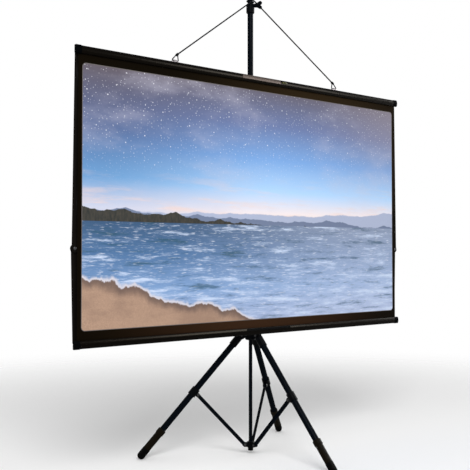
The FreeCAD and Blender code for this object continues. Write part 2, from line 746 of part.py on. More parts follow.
def cord():
    points = cord_route()
    radii = bend_radii(points)
    wire, length = route_wire(points, radii)
    start = points[0]
    solid = round_sweep(wire, start, (points[1] - start).normalize(), cord_radius)
    solids["hanging_cord"] = solid
    area = math.pi * cord_radius ** 2
    print("cord: length %.1f mm, volume over section x length %.4f"
          % (length, solid.Volume / (area * length)))
    print("cord: bend radii (mm)", [round(r, 1) for r in radii])
    print("cord: route points (mm)", [tuple(round(c, 2) for c in p) for p in points])
    knots = []
    for side, exit_point in ((-1, points[0]), (1, points[-1])):
        centre = knot_place(side)
        line = (exit_point - centre).normalize()
        knot = rod(centre - line * (knot_length / 2), line, knot_radius, knot_length)
        knots.append(knot.makeFillet(knot_radius / 2, [e for e in knot.Edges if e.Closed]))
    eyes = pair(hanger_wire(hanger_wire_radius + run_fit))
    solids["cord_knots"] = Part.makeCompound([k.cut(eyes) for k in knots])


# Plate and vial on the top bar, pad on the bottom bar
def front_strip(x0, x1, low, high, height, thickness):
    """A strip laid on a bar's bowed front, under its upper edge, with four rounded corners."""
    behind = bar_body(x0, x1, low, high)
    strip = behind.copy()
    strip.translate(Y * -thickness)
    top = high - bar_corner_radius
    window = box(x0, x1, bar_front - thickness - cut_over, bar_middle, top - height, top)
    corners = [e for e in window.Edges if e.BoundBox.YLength > thickness]
    return strip.common(window.makeFillet(height / 4, corners)).cut(behind)


def bar_fittings():
    plate_half, pad_half = plate_width / 2, pad_width / 2
    solids["top_plate"] = front_strip(-plate_half, plate_half, upper_bar_low, upper_bar_high,
                                      plate_height, plate_thickness)
    vial_start = plate_half + vial_gap
    vial = rod(V(vial_start, bar_front, upper_bar_high - vial_drop), X, vial_radius, vial_length)
    solids["level_vial"] = vial.cut(bar_body(plate_half, vial_start + 2 * vial_length,
                                             upper_bar_low, upper_bar_high))
    solids["bottom_pad"] = front_strip(pad_centre - pad_half, pad_centre + pad_half, lower_bar_low,
                                       lower_bar_high, pad_height, pad_thickness)


def frame_shift():
    """Moves the part along Y so that the origin lies under the middle of its box, cord aside."""
    boxes = [s.BoundBox for name, s in solids.items() if name != "hanging_cord"]
    low = min(b.YMin for b in boxes)
    high = max(b.YMax for b in boxes)
    return -(low + high) / 2


def main():
    os.makedirs(OUT, exist_ok=True)
    mast()
    clamps()
    hub()
    spreader()
    legs()
    screen_panel()
    side_links()
    hangers()
    cord()
    bar_fittings()
    shift = frame_shift()
    print("shift along Y: %.3f mm, leg fold %.3f deg, strut turn %.3f deg, rod travel %.2f mm"
          % (shift, math.degrees(fold_travel), math.degrees(strut_travel), rod_travel))
    for name, shape in solids.items():
        shape.translate(Y * shift)
        shape.exportStep(OUT + "/" + name + ".step")
    print(len(solids), "nodes")


main()
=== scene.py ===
import math

import bmesh
import bpy
from mathutils import Matrix, Vector


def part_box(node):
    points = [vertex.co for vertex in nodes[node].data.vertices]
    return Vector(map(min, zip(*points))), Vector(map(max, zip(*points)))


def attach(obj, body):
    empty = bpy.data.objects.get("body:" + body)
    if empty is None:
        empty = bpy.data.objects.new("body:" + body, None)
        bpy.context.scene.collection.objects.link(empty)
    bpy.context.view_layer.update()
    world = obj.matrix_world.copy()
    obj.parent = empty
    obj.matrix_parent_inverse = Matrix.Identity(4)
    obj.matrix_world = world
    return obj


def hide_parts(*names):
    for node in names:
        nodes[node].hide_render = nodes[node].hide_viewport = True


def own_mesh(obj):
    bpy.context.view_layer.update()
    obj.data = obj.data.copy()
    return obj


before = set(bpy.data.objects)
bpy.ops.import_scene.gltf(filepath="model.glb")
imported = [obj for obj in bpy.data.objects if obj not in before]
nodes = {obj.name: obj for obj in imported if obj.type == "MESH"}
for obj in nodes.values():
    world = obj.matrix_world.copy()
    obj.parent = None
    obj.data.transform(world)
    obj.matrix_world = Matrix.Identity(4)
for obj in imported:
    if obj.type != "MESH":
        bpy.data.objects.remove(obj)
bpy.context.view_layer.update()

# The mast: three steel tubes that slide in one another, with a satin black powder coat that is
# rubbed along its length by the clamps. The centre rod, legs and leg struts share the coat.
LEGS = ("left", "right", "front")
column_low, column_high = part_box("lower_column")
mast = (column_low + column_high) / 2


def add_node(tree, kind, inputs=None, **settings):
    """A shader node: its settings, and its inputs as plain values or as other nodes' sockets."""
    node = tree.nodes.new(kind)
    for name, value in settings.items():
        setattr(node, name, value)
    for key, value in (inputs or {}).items():
        if isinstance(value, bpy.types.NodeSocket):
            tree.links.new(value, node.inputs[key])
        else:
            node.inputs[key].default_value = value
    return node


def math_node(tree, operation, a, b=0.0, clamp=False):
    return add_node(tree, "ShaderNodeMath", {0: a, 1: b}, operation=operation, use_clamp=clamp).outputs[0]


def ramp_between(tree, value, low, high):
    """0 at low, 1 at high and a smooth step between them, also where low is the larger of the two."""
    return add_node(tree, "ShaderNodeMapRange", {"Value": value, "From Min": low, "From Max": high},
                    interpolation_type="SMOOTHSTEP").outputs[0]


def blend_colour(tree, share, first, second):
    mix = add_node(tree, "ShaderNodeMix", {"Factor": share}, data_type="RGBA")
    for socket, value in ((mix.inputs[6], first), (mix.inputs[7], second)):
        if isinstance(value, bpy.types.NodeSocket):
            tree.links.new(value, socket)
        else:
            socket.default_value = (*value, 1.0)
    return mix.outputs[2]


def effect_group(name, inputs, outputs):
    """An empty node group with its named sockets, and its input and output nodes."""
    group = bpy.data.node_groups.new(name, "ShaderNodeTree")
    for label, kind, value in inputs:
        group.interface.new_socket(label, in_out="INPUT", socket_type=kind).default_value = value
    for label in outputs:
        group.interface.new_socket(label, in_out="OUTPUT", socket_type="NodeSocketFloat")
    return group, group.nodes.new("NodeGroupInput").outputs, group.nodes.new("NodeGroupOutput").inputs


def surface_grain():
    """Fine unevenness of a moulded or coated surface, stretched along the way that it was drawn."""
    group, given, gives = effect_group(
        "surface grain",
        [("Size", "NodeSocketFloat", 300.0), ("Stretch", "NodeSocketVector", (1.0, 1.0, 1.0))],
        ["Mottle", "Height"])
    place = add_node(group, "ShaderNodeTexCoord").outputs["Object"]
    drawn = add_node(group, "ShaderNodeVectorMath", {0: place, 1: given["Stretch"]}, operation="MULTIPLY")
    fine = add_node(group, "ShaderNodeTexNoise", {"Vector": drawn.outputs[0], "Scale": given["Size"],
                                                  "Detail": 3.0, "Roughness": 0.55})
    broad_size = math_node(group, "MULTIPLY", given["Size"], 0.07)
    broad = add_node(group, "ShaderNodeTexNoise", {"Vector": drawn.outputs[0], "Scale": broad_size,
                                                   "Detail": 4.0})
    group.links.new(fine.outputs["Fac"], gives["Height"])
    group.links.new(broad.outputs["Fac"], gives["Mottle"])
    return group


def handling_scuffs():
    """Short light marks in patches, where a part has been gripped, slid or knocked."""
    group, given, gives = effect_group(
        "handling scuffs",
        [("Size", "NodeSocketFloat", 120.0), ("Amount", "NodeSocketFloat", 0.3),
         ("Stretch", "NodeSocketVector", (1.0, 1.0, 0.15))],
        ["Mask"])
    place = add_node(group, "ShaderNodeTexCoord").outputs["Object"]
    drawn = add_node(group, "ShaderNodeVectorMath", {0: place, 1: given["Stretch"]}, operation="MULTIPLY")
    marks = add_node(group, "ShaderNodeTexNoise", {"Vector": drawn.outputs[0], "Scale": given["Size"],
                                                   "Detail": 6.0, "Roughness": 0.7})
    patches = add_node(group, "ShaderNodeTexNoise", {"Vector": place, "Scale": 9.0, "Detail": 2.0})
    marked = ramp_between(group, marks.outputs["Fac"], 0.56, 0.72)
    worn = ramp_between(group, patches.outputs["Fac"], 0.42, 0.66)
    both = math_node(group, "MULTIPLY", marked, worn)
    group.links.new(math_node(group, "MULTIPLY", both, given["Amount"], clamp=True), gives["Mask"])
    return group


def settled_dust():
    """Pale dust on faces that look up."""
    group, given, gives = effect_group("settled dust", [("Amount", "NodeSocketFloat", 0.2)], ["Mask"])
    facing = add_node(group, "ShaderNodeNewGeometry").outputs["Normal"]
    upward = add_node(group, "ShaderNodeSeparateXYZ", {0: facing}).outputs["Z"]
    place = add_node(group, "ShaderNodeTexCoord").outputs["Object"]
    clumps = add_node(group, "ShaderNodeTexNoise", {"Vector": place, "Scale": 160.0, "Detail": 5.0})
    lying = math_node(group, "MULTIPLY", ramp_between(group, upward, 0.35, 1.0),
                      ramp_between(group, clumps.outputs["Fac"], 0.3, 0.7))
    group.links.new(math_node(group, "MULTIPLY", lying, given["Amount"], clamp=True), gives["Mask"])
    return group


GRAIN, SCUFFS, DUST = surface_grain(), handling_scuffs(), settled_dust()
DUST_COLOUR = (0.30, 0.29, 0.27)
DEEPER, PALER = 0.72, 1.28


def hard_finish(name, colour, roughness, worn, metallic=0.0, size=300.0, stretch=(1.0, 1.0, 1.0),
                depth=0.00004, spread=0.12, scuffs=0.3, scuff_stretch=(1.0, 1.0, 0.15), dust=0.1,
                specular=0.12, tint=(1.0, 1.0, 1.0), coat=0.0):
    """A hard surface: its colour, a worn colour on the scuffs, grain in gloss and bump, and light dust."""
    material = bpy.data.materials.new(name)
    material.use_nodes = True
    tree = material.node_tree
    shader = tree.nodes["Principled BSDF"]
    grain = add_node(tree, "ShaderNodeGroup", node_tree=GRAIN)
    grain.inputs["Size"].default_value = size
    grain.inputs["Stretch"].default_value = stretch
    marks = add_node(tree, "ShaderNodeGroup", node_tree=SCUFFS)
    marks.inputs["Amount"].default_value = scuffs
    marks.inputs["Stretch"].default_value = scuff_stretch
    fallen = add_node(tree, "ShaderNodeGroup", node_tree=DUST)
    fallen.inputs["Amount"].default_value = dust
    deeper, paler = ([channel * share for channel in colour] for share in (DEEPER, PALER))
    base = blend_colour(tree, grain.outputs["Mottle"], deeper, paler)
    base = blend_colour(tree, marks.outputs["Mask"], base, worn)
    base = blend_colour(tree, fallen.outputs["Mask"], base, DUST_COLOUR)
    gloss = add_node(tree, "ShaderNodeMapRange", {
        "Value": grain.outputs["Mottle"], "From Min": 0.3, "From Max": 0.7,
        "To Min": roughness - spread / 2, "To Max": roughness + spread / 2}).outputs[0]
    dulled = math_node(tree, "MULTIPLY", fallen.outputs["Mask"], 0.4)
    gloss = math_node(tree, "ADD", gloss, dulled, clamp=True)
    bump = add_node(tree, "ShaderNodeBump", {"Height": grain.outputs["Height"], "Distance": depth,
                                             "Strength": 0.6})
    tree.links.new(base, shader.inputs["Base Color"])
    tree.links.new(gloss, shader.inputs["Roughness"])
    tree.links.new(bump.outputs[0], shader.inputs["Normal"])
    shader.inputs["Metallic"].default_value = metallic
    shader.inputs["Specular IOR Level"].default_value = specular
    shader.inputs["Specular Tint"].default_value = (*tint, 1.0)
    shader.inputs["Coat Weight"].default_value = coat
    shader.inputs["Coat Roughness"].default_value = 0.2
    return material


def finish_nodes(material, *names):
    """Every surface of these nodes takes the material."""
    for name in names:
        for slot in nodes[name].material_slots:
            slot.material = material


satin_black = hard_finish("satin black coat", (0.0005, 0.0016, 0.0034), 0.36, (0.02, 0.021, 0.024),
                          size=900.0, depth=0.00001, stretch=(1.0, 1.0, 0.6), scuffs=0.22,
                          scuff_stretch=(1.0, 1.0, 0.05), dust=0.01, specular=0.0, coat=0.05)
finish_nodes(satin_black, "lower_column", "mid_tube", "top_tube", "centre_rod")
finish_nodes(satin_black, *[leg + "_leg_tube" for leg in LEGS], *[leg + "_leg_strut" for leg in LEGS])

# The spigot that closes the mast is bright turned steel with fine rings and a little tarnish. Rivets and
# hinge pins are headed from the same steel; their dark colour is painted shade, the steel itself is bright.
SIDES = ("left", "right")
bright_steel = hard_finish("bright steel", (0.38, 0.38, 0.37), 0.30, (0.20, 0.19, 0.18), metallic=1.0,
                           size=2400.0, stretch=(1.0, 1.0, 6.0), depth=0.00001, scuffs=0.6, dust=0.08,
                           specular=0.5)
finish_nodes(bright_steel, "top_spigot")
# The rivets' and pins' dark base colour is painted shade on bright steel.
steel_in_painted_shade = hard_finish("steel in painted shade", (0.035, 0.035, 0.036), 0.42, (0.10, 0.10, 0.095), metallic=1.0,
                           size=1600.0, depth=0.00002, scuffs=0.5, scuff_stretch=(1.0, 1.0, 1.0), dust=0.06,
                           specular=0.3)
finish_nodes(steel_in_painted_shade, "hub_pins", "spreader_rivets", "hinge_pins",
             *[leg + "_bracket_rivet" for leg in LEGS], *[side + "_elbow_rivet" for side in SIDES])

# Clamps, bushes, wing screws, hub, sockets, brackets and spreader: glass-filled nylon, moulded black,
# with a fine spark grain, scuffed paler on what is gripped.
moulded_black = hard_finish("moulded black nylon", (0.0009, 0.0012, 0.0018), 0.40, (0.02, 0.02, 0.022),
                            size=1300.0, depth=0.00009, spread=0.16, scuffs=0.35,
                            scuff_stretch=(1.0, 1.0, 1.0), dust=0.03, specular=0.025)
finish_nodes(moulded_black, "lower_clamp", "upper_clamp", "lower_clamp_bush", "upper_clamp_bush",
             "lower_clamp_knob", "upper_clamp_knob", "hub_knob", "leg_hub", "spreader_collar",
             *[leg + "_leg_socket" for leg in LEGS], *[leg + "_leg_bracket" for leg in LEGS])

# Foot sleeves: moulded plastic with a bead at the upper edge, slid over the lower end of each leg. Their
# olive-brown tone is partly the plastic's own and partly a painted reflection of a wooden floor, and their
# paler brown patches are partly wear from the hands that fold the legs and partly painted reflection.
# Olive-brown base and paler patches: partly real colour and wear, partly painted reflection.
sleeve_tone_and_painted_reflection = hard_finish("sleeve tone and painted reflection", (0.0044, 0.0030, 0.0013), 0.50, (0.04, 0.029, 0.016),
                           size=1100.0, depth=0.00008, scuffs=0.6, scuff_stretch=(1.0, 1.0, 0.4), dust=0.05,
                           specular=0.025)
finish_nodes(sleeve_tone_and_painted_reflection, *[leg + "_foot_sleeve" for leg in LEGS])

# Foot tips, the rod's plug and the pad on the bottom bar: matt black rubber with a chalky bloom, moulded
# to push over or into the tubes' ends. The pad is fixed along the middle of its bar.
matt_rubber = hard_finish("matt rubber", (0.0014, 0.0014, 0.0014), 0.80, (0.02, 0.019, 0.018),
                          size=700.0, depth=0.00012, spread=0.14, scuffs=0.5,
                          scuff_stretch=(1.0, 1.0, 1.0), dust=0.08, specular=0.02)
finish_nodes(matt_rubber, "rod_plug", "bottom_pad", *[leg + "_foot_tip" for leg in LEGS])

# Screen bars: hollow aluminium extrusions, bronze-black anodised, with the fine straight lines that
# the die leaves along them.
bronze_black = hard_finish("bronze black anodised", (0.0012, 0.0008, 0.0006), 0.20, (0.02, 0.016, 0.012),
                           size=900.0, stretch=(0.02, 1.0, 1.0), depth=0.00003, spread=0.06, scuffs=0.3,
                           scuff_stretch=(0.08, 1.0, 1.0), dust=0.02, specular=0.035,
                           tint=(1.0, 0.86, 0.66))
finish_nodes(bronze_black, "top_bar", "bottom_bar")

# Corner caps: moulded black plastic, each with a spigot pushed into its bar's hollow end. They close the
# bars and carry the strut hinges and pegs.
corner_black = hard_finish("corner cap plastic", (0.0007, 0.0009, 0.0012), 0.38, (0.02, 0.02, 0.02),
                           size=1500.0, depth=0.00006, scuffs=0.35, scuff_stretch=(1.0, 1.0, 1.0), dust=0.01,
                           specular=0.0, coat=0.025)
finish_nodes(corner_black, *[end + "_cap_" + side for end in ("top", "bottom") for side in SIDES])

# Side struts: flat steel links with a pressed groove, hinged at the caps and riveted at the elbow. Their
# coat is a browner black than the mast's, with stronger rub marks.
strut_black = hard_finish("strut coat", (0.0052, 0.0042, 0.0034), 0.32, (0.03, 0.03, 0.03), size=900.0,
                          depth=0.00003, stretch=(1.0, 1.0, 0.4), scuffs=0.4,
                          scuff_stretch=(1.0, 1.0, 0.06), dust=0.02, specular=0.0, coat=0.03)
finish_nodes(strut_black, *[side + "_" + part + "_link" for side in SIDES for part in ("upper", "lower")])

# Screen cloth: black-backed vinyl with a matt face and a dark masking border, held in the bars' grooves.
# It shows a plain landscape at dusk: stars, cloud, hills, a lake and a sandy bank, painted into the cloth's
# colour as projected light. The border's heights count in what each bar holds.
cloth_low, cloth_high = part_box("screen_fabric")
CLOTH_CELLS = (56, 34)
BORDER_SIDE, BORDER_ABOVE, BORDER_BELOW = 0.013, 0.032, 0.034
WHITE_LOW, WHITE_HIGH = cloth_low.z + BORDER_BELOW, cloth_high.z - BORDER_ABOVE
WHITE_HALF = cloth_high.x - BORDER_SIDE
RIM, CORNER, EDGE_SOFTNESS = 0.0018, 0.012, 0.0004
BORDER_DARK = (0.0040, 0.0026, 0.0010)
# The warm brown on the border, below in the middle and above to the right, is painted light, not a colour of
# the vinyl.
PAINTED_LIGHT_ABOVE, PAINTED_LIGHT_BELOW = (0.021, 0.0125, 0.0048), (0.034, 0.0155, 0.0072)
PAINTED_LIGHT_REACH, PAINTED_LIGHT_SHIFT_ABOVE = 0.68, 0.26
# The grey rim round the picture is painted shade, the dim edge of the projected light.
PAINTED_RIM_SHADE, BACK_BLACK = (0.14, 0.125, 0.12), (0.010, 0.010, 0.011)


def object_from(mesh, name):
    """The finished bmesh as an object in the scene."""
    data = bpy.data.meshes.new(name)
    mesh.to_mesh(data)
    mesh.free()
    made = bpy.data.objects.new(name, data)
    bpy.context.scene.collection.objects.link(made)
    return made


def stretched_cloth():
    """A subdivided sheet between the bars, thickened to its front."""
    mesh = bmesh.new()
    bmesh.ops.create_grid(mesh, x_segments=CLOTH_CELLS[0], y_segments=CLOTH_CELLS[1], size=0.5)
    size = cloth_high - cloth_low
    bmesh.ops.scale(mesh, vec=(size.x, size.z, 1.0), verts=mesh.verts)
    upright = Matrix.Rotation(math.radians(90), 4, "X")
    middle = Vector((0.0, cloth_high.y, (cloth_low.z + cloth_high.z) / 2))
    bmesh.ops.transform(mesh, matrix=Matrix.Translation(middle) @ upright, verts=mesh.verts)
    made = bmesh.ops.extrude_face_region(mesh, geom=mesh.faces[:])
    front = [v for v in made["geom"] if isinstance(v, bmesh.types.BMVert)]
    bmesh.ops.translate(mesh, vec=(0.0, -size.y, 0.0), verts=front)
    bmesh.ops.recalc_face_normals(mesh, faces=mesh.faces)
    return object_from(mesh, "screen_cloth")


def rounded_window(tree, across, up, half_width, low, high, corner):
    """1 inside an upright rectangle with rounded corners, 0 outside, with a slightly soft edge."""
    middle, half_height = (low + high) / 2, (high - low) / 2
    side = math_node(tree, "SUBTRACT", math_node(tree, "ABSOLUTE", across), half_width - corner)
    rise = math_node(tree, "ABSOLUTE", math_node(tree, "SUBTRACT", up, middle))
    rise = math_node(tree, "SUBTRACT", rise, half_height - corner)
    side_out, rise_out = (math_node(tree, "MAXIMUM", v, 0.0) for v in (side, rise))
    squares = [math_node(tree, "MULTIPLY", v, v) for v in (side_out, rise_out)]
    reach = math_node(tree, "SQRT", math_node(tree, "ADD", *squares))
    outside = ramp_between(tree, reach, corner - EDGE_SOFTNESS, corner + EDGE_SOFTNESS)
    return math_node(tree, "SUBTRACT", 1.0, outside)


def noise_on(tree, vector, scale, detail=4.0, roughness=0.5):
    return add_node(tree, "ShaderNodeTexNoise", {"Vector": vector, "Scale": scale, "Detail": detail,
                                                 "Roughness": roughness}).outputs["Fac"]


def stretched_place(tree, place, stretch):
    return add_node(tree, "ShaderNodeVectorMath", {0: place, 1: stretch}, operation="MULTIPLY").outputs[0]


def colour_ramp(tree, value, stops):
    ramp = add_node(tree, "ShaderNodeValToRGB", {"Fac": value})
    band = ramp.color_ramp
    while len(band.elements) < len(stops):
        band.elements.new(0.5)
    for element, (place, colour) in zip(band.elements, stops):
        element.position = place
        element.color = (*colour, 1.0)
    return ramp.outputs["Color"]


def ridge(tree, place, across, up, foot, rise, scale, tilt, soft=0.0022):
    """1 under a hill line; the tilt lets it sink towards one side."""
    along = stretched_place(tree, place, (scale, 0.0, 0.0))
    line = math_node(tree, "MULTIPLY", noise_on(tree, along, 1.0, detail=6.0, roughness=0.55), rise)
    lean = math_node(tree, "MULTIPLY", across, tilt)
    top = math_node(tree, "ADD", math_node(tree, "ADD", line, lean), foot)
    return ramp_between(tree, math_node(tree, "SUBTRACT", top, up), 0.0, soft)


def stars(tree, across, up, scale, size):
    """Points of light of uneven strength, one to a cell of a scattered net."""
    flat = add_node(tree, "ShaderNodeCombineXYZ", {"X": across, "Y": up}).outputs[0]
    net = add_node(tree, "ShaderNodeTexVoronoi", {"Vector": flat, "Scale": scale},
                   voronoi_dimensions="2D").outputs
    strength = add_node(tree, "ShaderNodeSeparateXYZ", {0: net["Color"]}).outputs["X"]
    point = ramp_between(tree, net["Distance"], size, size * 0.35)
    return math_node(tree, "MULTIPLY", point, math_node(tree, "POWER", strength, 2.0))


SHORE_SHARE = 0.41
SKY = [(SHORE_SHARE, (0.88, 0.66, 0.52)), (0.465, (0.84, 0.76, 0.78)), (0.56, (0.42, 0.64, 0.92)),
       (0.70, (0.20, 0.38, 0.72)), (0.85, (0.15, 0.20, 0.38)), (1.0, (0.135, 0.125, 0.165))]
SHADED_SKY = [(0.46, (0.50, 0.55, 0.70)), (0.58, (0.09, 0.25, 0.50)), (0.76, (0.080, 0.112, 0.23)),
              (1.0, (0.115, 0.095, 0.110))]
HAZE, CLOUD, WISP = (0.33, 0.29, 0.33), (0.56, 0.55, 0.66), (0.82, 0.60, 0.52)
STARLIGHT = (0.88, 0.89, 0.96)
CLOUD_STRETCH = (1.0, 1.0, 2.4)


def dusk_sky(tree, place, across, up, share):
    """A sky that pales towards the shore, shaded at the left, with haze, cloud, wisps and stars."""
    sky = colour_ramp(tree, share, SKY)
    left_shade = math_node(tree, "MULTIPLY", ramp_between(tree, across, 0.10, -0.66), 0.84)
    sky = blend_colour(tree, left_shade, sky, colour_ramp(tree, share, SHADED_SKY))
    right_haze = math_node(tree, "MULTIPLY", ramp_between(tree, across, 0.15, 0.75),
                           ramp_between(tree, share, 0.50, 0.95))
    sky = blend_colour(tree, math_node(tree, "MULTIPLY", right_haze, 0.55), sky, HAZE)
    cloud = noise_on(tree, stretched_place(tree, place, CLOUD_STRETCH), 2.6, detail=9.0, roughness=0.60)
    cloud = math_node(tree, "MULTIPLY", ramp_between(tree, cloud, 0.46, 0.74), 0.40)
    sky = blend_colour(tree, cloud, sky, CLOUD)
    wisp = noise_on(tree, stretched_place(tree, place, (1.0, 1.0, 9.0)), 3.6, detail=8.0, roughness=0.6)
    low_down = ramp_between(tree, share, 0.66, 0.45)
    wisp = math_node(tree, "MULTIPLY", ramp_between(tree, wisp, 0.50, 0.68), low_down)
    sky = blend_colour(tree, math_node(tree, "MULTIPLY", wisp, 0.6), sky, WISP)
    large, small = stars(tree, across, up, 31.0, 0.075), stars(tree, across, up, 84.0, 0.14)
    points = math_node(tree, "MAXIMUM", large, math_node(tree, "MULTIPLY", small, 0.75))
    points = math_node(tree, "MULTIPLY", points, ramp_between(tree, share, 0.52, 0.76))
    return blend_colour(tree, points, sky, STARLIGHT)


FAR_HILL, MIDDLE_HILL = (0.40, 0.45, 0.60), (0.165, 0.205, 0.31)
TREES_SHADED, TREES_LIT = (0.016, 0.024, 0.028), (0.085, 0.075, 0.060)


def with_hills(tree, place, across, up, sky):
    """Three hill lines on the far shore, paler with distance, the nearest one wooded."""
    shore = WHITE_LOW + SHORE_SHARE * (WHITE_HIGH - WHITE_LOW)
    far = ridge(tree, place, across, up, shore - 0.014, 0.104, 2.3, 0.012, soft=0.004)
    sky = blend_colour(tree, far, sky, FAR_HILL)
    middle = ridge(tree, place, across, up, shore - 0.022, 0.082, 4.6, -0.02)
    sky = blend_colour(tree, middle, sky, MIDDLE_HILL)
    near = ridge(tree, place, across, up, shore - 0.040, 0.085, 7.0, -0.055)
    forest = noise_on(tree, stretched_place(tree, place, (1.0, 1.0, 0.35)), 150.0, detail=3.0)
    return blend_colour(tree, near, sky, blend_colour(tree, forest, TREES_SHADED, TREES_LIT))


WATER = [(0.0, (0.30, 0.38, 0.58)), (0.14, (0.20, 0.33, 0.57)), (0.28, (0.085, 0.175, 0.34)),
         (SHORE_SHARE, (0.050, 0.100, 0.190))]
SHEEN, CREST, GLINT, TROUGH = ((0.60, 0.66, 0.84), (0.60, 0.70, 0.88), (0.70, 0.74, 0.84),
                               (0.030, 0.085, 0.125))


def lake(tree, place, across, share):
    """Rippled water, brighter towards the right, with light on the crests and dark in the troughs."""
    water = colour_ramp(tree, share, WATER)
    sheen = math_node(tree, "MULTIPLY", ramp_between(tree, across, -0.45, 0.60), 0.40)
    water = blend_colour(tree, sheen, water, SHEEN)
    ripple = noise_on(tree, stretched_place(tree, place, (1.0, 1.0, 9.0)), 5.5, detail=10.0, roughness=0.72)
    fine = noise_on(tree, stretched_place(tree, place, (1.0, 1.0, 7.0)), 34.0, detail=6.0, roughness=0.6)
    nearness = ramp_between(tree, share, 0.30, 0.0)
    lit_from = math_node(tree, "SUBTRACT", 0.53, math_node(tree, "MULTIPLY", nearness, 0.07))
    lit = math_node(tree, "MULTIPLY", ramp_between(tree, ripple, lit_from, 0.66), 0.82)
    water = blend_colour(tree, lit, water, CREST)
    glints = math_node(tree, "MULTIPLY", ramp_between(tree, fine, 0.54, 0.70), 0.6)
    water = blend_colour(tree, glints, water, GLINT)
    trough = math_node(tree, "MULTIPLY", ramp_between(tree, ripple, 0.47, 0.34), 0.7)
    return blend_colour(tree, trough, water, TROUGH)


FOAM, WET_SAND = (0.62, 0.60, 0.66), (0.17, 0.115, 0.095)
SAND_DARK, SAND_PALE, SAND_PATCH = (0.22, 0.135, 0.095), (0.58, 0.39, 0.28), (0.27, 0.175, 0.13)
BANK_SLOPE, BANK_UNEVENNESS, BANK_DROP = -0.24, 0.13, 0.070


def with_bank(tree, place, across, up, water):
    """A sandy bank at the lower left, wet and foamy along the water."""
    edge = noise_on(tree, stretched_place(tree, place, (1.0, 1.0, 0.6)), 6.5, detail=9.0, roughness=0.6)
    bank_line = math_node(tree, "ADD", math_node(tree, "MULTIPLY", across, BANK_SLOPE),
                          math_node(tree, "MULTIPLY", edge, BANK_UNEVENNESS))
    below = math_node(tree, "SUBTRACT", math_node(tree, "ADD", bank_line, WHITE_LOW - BANK_DROP), up)
    water = blend_colour(tree, ramp_between(tree, below, -0.016, -0.004), water, FOAM)
    water = blend_colour(tree, ramp_between(tree, below, -0.005, 0.0), water, WET_SAND)
    grain = noise_on(tree, place, 420.0, detail=4.0, roughness=0.65)
    sand = blend_colour(tree, grain, SAND_DARK, SAND_PALE)
    drift = stretched_place(tree, place, CLOUD_STRETCH)
    patch = ramp_between(tree, noise_on(tree, drift, 9.0, detail=6.0), 0.42, 0.62)
    sand = blend_colour(tree, math_node(tree, "MULTIPLY", patch, 0.5), sand, SAND_PATCH)
    return blend_colour(tree, ramp_between(tree, below, 0.0, 0.030), water, sand)


def landscape(tree, place, across, up):
    """A dusk sky over three hill lines, a lake with light on its ripples, and a sandy bank."""
    share = math_node(tree, "DIVIDE", math_node(tree, "SUBTRACT", up, WHITE_LOW), WHITE_HIGH - WHITE_LOW)
    sky = with_hills(tree, place, across, up, dusk_sky(tree, place, across, up, share))
    water = with_bank(tree, place, across, up, lake(tree, place, across, share))
    above = ramp_between(tree, share, SHORE_SHARE - 0.001, SHORE_SHARE + 0.001)
    return blend_colour(tree, above, water, sky)


def masking_border(tree, across, up):
    """The dark border with painted warm light on it: below in the middle, above further to the right."""
    above = math_node(tree, "GREATER_THAN", up, (WHITE_LOW + WHITE_HIGH) / 2)
    lit_middle = math_node(tree, "MULTIPLY", above, PAINTED_LIGHT_SHIFT_ABOVE)
    off_middle = math_node(tree, "ABSOLUTE", math_node(tree, "SUBTRACT", across, lit_middle))
    # Painted warm light on the border, blended in towards its lit middle.
    painted_light = blend_colour(tree, above, PAINTED_LIGHT_BELOW, PAINTED_LIGHT_ABOVE)
    return blend_colour(tree, ramp_between(tree, off_middle, PAINTED_LIGHT_REACH, 0.0), BORDER_DARK, painted_light)


def cloth_finish():
    """The picture in its border on the front, black on the back, and a woven surface on both."""
    material = bpy.data.materials.new("screen cloth face")
    material.use_nodes = True
    tree = material.node_tree
    shader = tree.nodes["Principled BSDF"]
    place = add_node(tree, "ShaderNodeTexCoord").outputs["Object"]
    parts = add_node(tree, "ShaderNodeSeparateXYZ", {0: place}).outputs
    across, depth, up = parts["X"], parts["Y"], parts["Z"]
    # The landscape is painted projected light in the face's colour.
    shown = landscape(tree, place, across, up)
    window = rounded_window(tree, across, up, WHITE_HALF, WHITE_LOW, WHITE_HIGH, CORNER)
    inner = rounded_window(tree, across, up, WHITE_HALF - RIM, WHITE_LOW + RIM, WHITE_HIGH - RIM,
                           CORNER - RIM)
    # A thin rim of painted shade round the picture.
    face = blend_colour(tree, inner, PAINTED_RIM_SHADE, shown)
    face = blend_colour(tree, window, masking_border(tree, across, up), face)
    middle = (cloth_low.y + cloth_high.y) / 2
    back = ramp_between(tree, depth, middle - 0.0001, middle + 0.0001)
    tree.links.new(blend_colour(tree, back, face, BACK_BLACK), shader.inputs["Base Color"])
    weave = [add_node(tree, "ShaderNodeTexWave", {"Vector": place, "Scale": 420.0, "Distortion": 0.6},
                      bands_direction=way).outputs["Fac"] for way in ("X", "Z")]
    thread = math_node(tree, "ADD", *weave)
    slack = noise_on(tree, stretched_place(tree, place, (1.0, 1.0, 0.35)), 2.2, detail=2.0)
    fine = add_node(tree, "ShaderNodeBump", {"Height": thread, "Distance": 0.00005, "Strength": 0.4})
    broad = add_node(tree, "ShaderNodeBump", {"Height": slack, "Distance": 0.004, "Strength": 0.25,
                                              "Normal": fine.outputs[0]})
    tree.links.new(broad.outputs[0], shader.inputs["Normal"])
    gloss = add_node(tree, "ShaderNodeMapRange", {"Value": thread, "From Max": 2.0, "To Min": 0.78,
                                                  "To Max": 0.92}).outputs[0]
    tree.links.new(gloss, shader.inputs["Roughness"])
    shader.inputs["Specular IOR Level"].default_value = 0.01
    return material


cloth = stretched_cloth()
cloth.data.materials.append(cloth_finish())
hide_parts("screen_fabric")
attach(cloth, "screen")
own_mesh(cloth)

